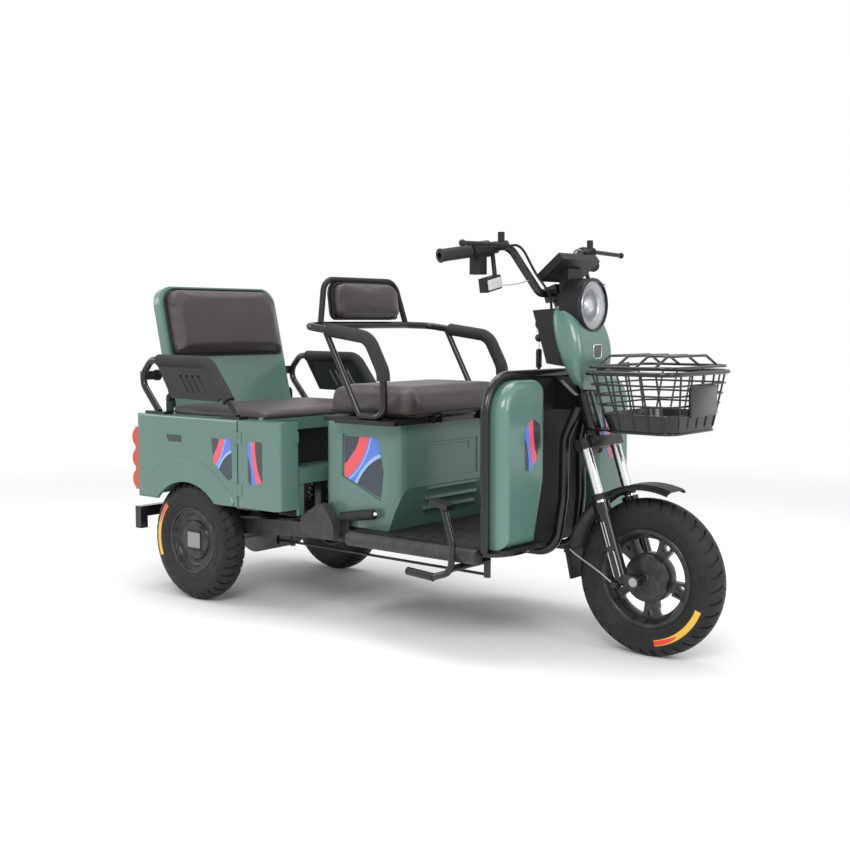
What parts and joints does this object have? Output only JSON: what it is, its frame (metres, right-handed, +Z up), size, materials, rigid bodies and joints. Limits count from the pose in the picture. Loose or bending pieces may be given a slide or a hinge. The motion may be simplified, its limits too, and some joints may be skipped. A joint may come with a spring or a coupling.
{
  "type": "electric tricycle",
  "caption": "Three-wheeled electric vehicle with a driver seat over the battery box, a rear passenger box with bench, armrests and side doors, and a lidded wire basket on the steered fork.",
  "frame": {"origin": "middle of the footprint's bounding box, on the ground under the tyres", "axes": "+X forward, towards the front wheel; +Y to the vehicle's left; +Z up"},
  "size_m": [1.9311, 0.79, 1.1065],
  "materials": {
    "body_green": "glossy sage green",
    "frame_black": "gloss black enamel",
    "plastic_black": "satin black",
    "leather_brown": "dark brown leatherette",
    "axle_steel": "bare steel",
    "motor_metal": "cast aluminium",
    "shock_black": "black spring",
    "rail_grey": "dark grey enamel",
    "foam_black": "matt foam",
    "lamp_red": "translucent red",
    "battery_black": "satin",
    "stanchion_silver": "polished",
    "grip_rubber": "ribbed",
    "lens_clear": "clear",
    "tyre_black": "matt",
    "rim_black": "satin black",
    "cable_grey": "light grey jacket"
  },
  "bodies": {
    "chassis": {"chassis_frame": "frame_black", "rear_axle": "axle_steel", "drive_motor": "motor_metal", "rear_shocks": "shock_black", "side_rails": "rail_grey", "rear_bumper": "frame_black", "rear_tub": "body_green", "side_panels": "body_green", "rear_seat_board": "body_green", "kick_panel": "plastic_black", "rear_seat_cushion": "leather_brown", "backrest_mounts": "plastic_black", "rear_armrests": "frame_black", "rear_armrest_pads": "foam_black", "tail_lamps": "lamp_red", "floorboard": "plastic_black", "floor_edge_tubes": "rail_grey", "seat_box": "body_green", "battery": "battery_black", "seat_frame": "frame_black", "front_armrest_pads": "foam_black", "front_backrest_shell": "plastic_black", "front_backrest_pad": "leather_brown", "splash_panel": "plastic_black", "leg_shield_hoop": "frame_black", "leg_shields": "body_green", "hand_brake": "plastic_black", "foot_brake": "frame_black"},
    "steering": {"fork_crown": "frame_black", "fork_stanchions": "stanchion_silver", "fork_sliders": "frame_black", "front_axle": "axle_steel", "handlebar": "frame_black", "grips": "grip_rubber", "controls": "plastic_black", "turn_signals": "plastic_black", "console": "plastic_black", "headlight_shell": "plastic_black", "headlight_lens": "lens_clear", "front_cover": "body_green", "cover_back": "plastic_black", "front_fender": "plastic_black", "basket": "frame_black", "front_brake_cable": "cable_grey", "lever_cable_right": "plastic_black", "lever_cable_left": "plastic_black", "lamp_wire_right": "cable_grey"},
    "basket_cover": {"basket_lid": "frame_black"},
    "front_wheel": {"front_tyre": "tyre_black", "front_rim": "rim_black"},
    "rear_wheel_right": {"rear_tyre_right": "tyre_black", "rear_rim_right": "rim_black"},
    "rear_wheel_left": {"rear_tyre_left": "tyre_black", "rear_rim_left": "rim_black"},
    "seat_lid": {"front_seat_cushion": "leather_brown"},
    "backrest": {"rear_backrest_shell": "body_green", "rear_backrest_pad": "leather_brown"},
    "side_door_right": {"door_right": "body_green"},
    "side_door_left": {"door_left": "body_green"}
  },
  "joints": [
    {"name": "steering_turn", "type": "hinge", "parent": "chassis", "child": "steering", "pos_m": [0.58959, 0, 0.55], "axis": [-0.3173, 0, 0.9483], "range_deg": [-35, 35]},
    {"name": "front_wheel_spin", "type": "hinge", "parent": "steering", "child": "front_wheel", "pos_m": [0.75759, 0, 0.208], "axis": [0, 1, 0], "continuous": true},
    {"name": "rear_wheel_right_spin", "type": "hinge", "parent": "chassis", "child": "rear_wheel_right", "pos_m": [-0.67241, -0.314, 0.19], "axis": [0, 1, 0], "continuous": true},
    {"name": "rear_wheel_left_spin", "type": "hinge", "parent": "chassis", "child": "rear_wheel_left", "pos_m": [-0.67241, 0.314, 0.19], "axis": [0, 1, 0], "continuous": true},
    {"name": "basket_lid_open", "type": "hinge", "parent": "steering", "child": "basket_cover", "pos_m": [0.63659, 0, 0.761], "axis": [0, -1, 0], "range_deg": [0, 80]},
    {"name": "seat_lid_open", "type": "hinge", "parent": "chassis", "child": "seat_lid", "pos_m": [0.12759, 0, 0.607], "axis": [0, 1, 0], "range_deg": [0, 95]},
    {"name": "backrest_fold", "type": "hinge", "parent": "chassis", "child": "backrest", "pos_m": [-0.86541, 0, 0.625], "axis": [0, 1, 0], "range_deg": [0, 80]},
    {"name": "door_right_open", "type": "hinge", "parent": "chassis", "child": "side_door_right", "pos_m": [-0.43441, -0.366, 0.45], "axis": [0, 0, -1], "range_deg": [0, 95]},
    {"name": "door_left_open", "type": "hinge", "parent": "chassis", "child": "side_door_left", "pos_m": [-0.43441, 0.366, 0.45], "axis": [0, 0, 1], "range_deg": [0, 95]}
  ]
}
